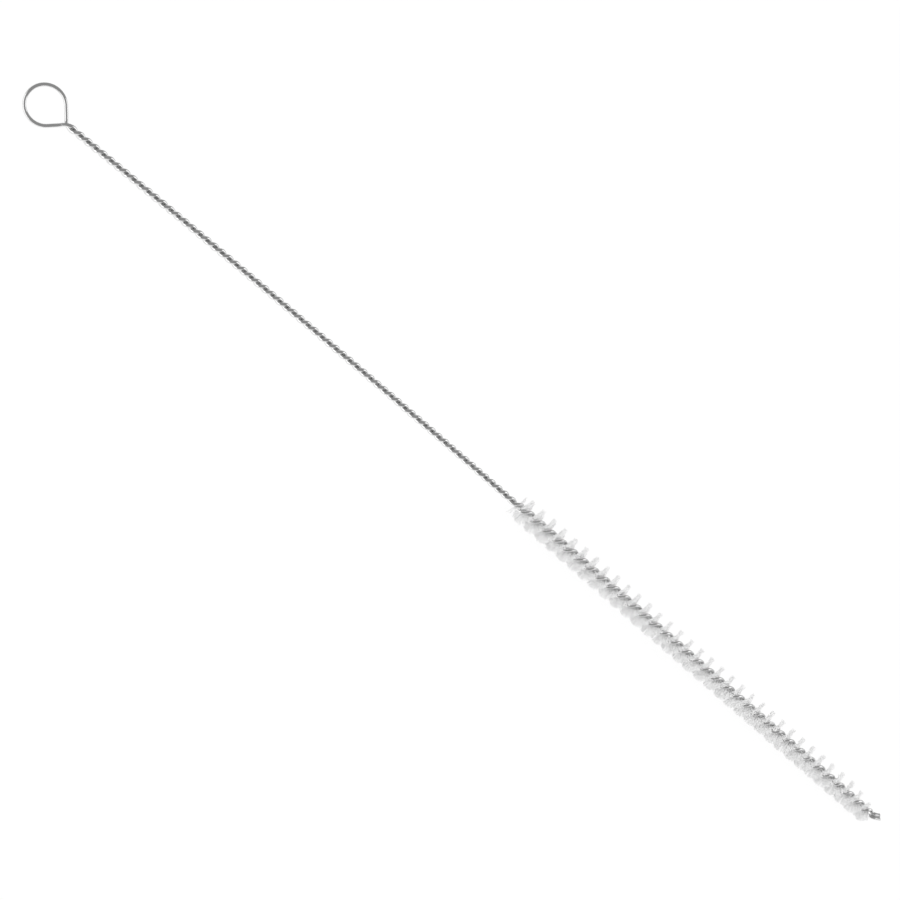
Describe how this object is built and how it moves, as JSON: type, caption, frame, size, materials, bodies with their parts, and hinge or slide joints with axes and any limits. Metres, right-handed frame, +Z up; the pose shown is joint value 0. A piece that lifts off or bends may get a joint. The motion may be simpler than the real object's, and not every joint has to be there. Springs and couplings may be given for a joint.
{
  "type": "bottle brush",
  "caption": "Slim twisted-wire bottle brush: a steel wire bent to a finger loop and twisted on itself, with white nylon bristles spiralling round its far half.",
  "frame": {"origin": "on the floor under the middle of the brush as it lies, at the centre of its bounding box", "axes": "+X along the bristles towards the tip, +Z up from the floor it lies on, the loop at -X"},
  "size_m": [0.3051, 0.011, 0.0076],
  "materials": {
    "steel_wire": "bright drawn wire",
    "white_nylon": "satin white monofilament"
  },
  "bodies": {
    "root": {"stem_wire": "steel_wire", "bristles_turn_01": "white_nylon", "bristles_turn_02": "white_nylon", "bristles_turn_03": "white_nylon", "bristles_turn_04": "white_nylon", "bristles_turn_05": "white_nylon", "bristles_turn_06": "white_nylon", "bristles_turn_07": "white_nylon", "bristles_turn_08": "white_nylon", "bristles_turn_09": "white_nylon", "bristles_turn_10": "white_nylon", "bristles_turn_11": "white_nylon", "bristles_turn_12": "white_nylon", "bristles_turn_13": "white_nylon", "bristles_turn_14": "white_nylon", "bristles_turn_15": "white_nylon", "bristles_turn_16": "white_nylon", "bristles_turn_17": "white_nylon"}
  },
  "joints": []
}
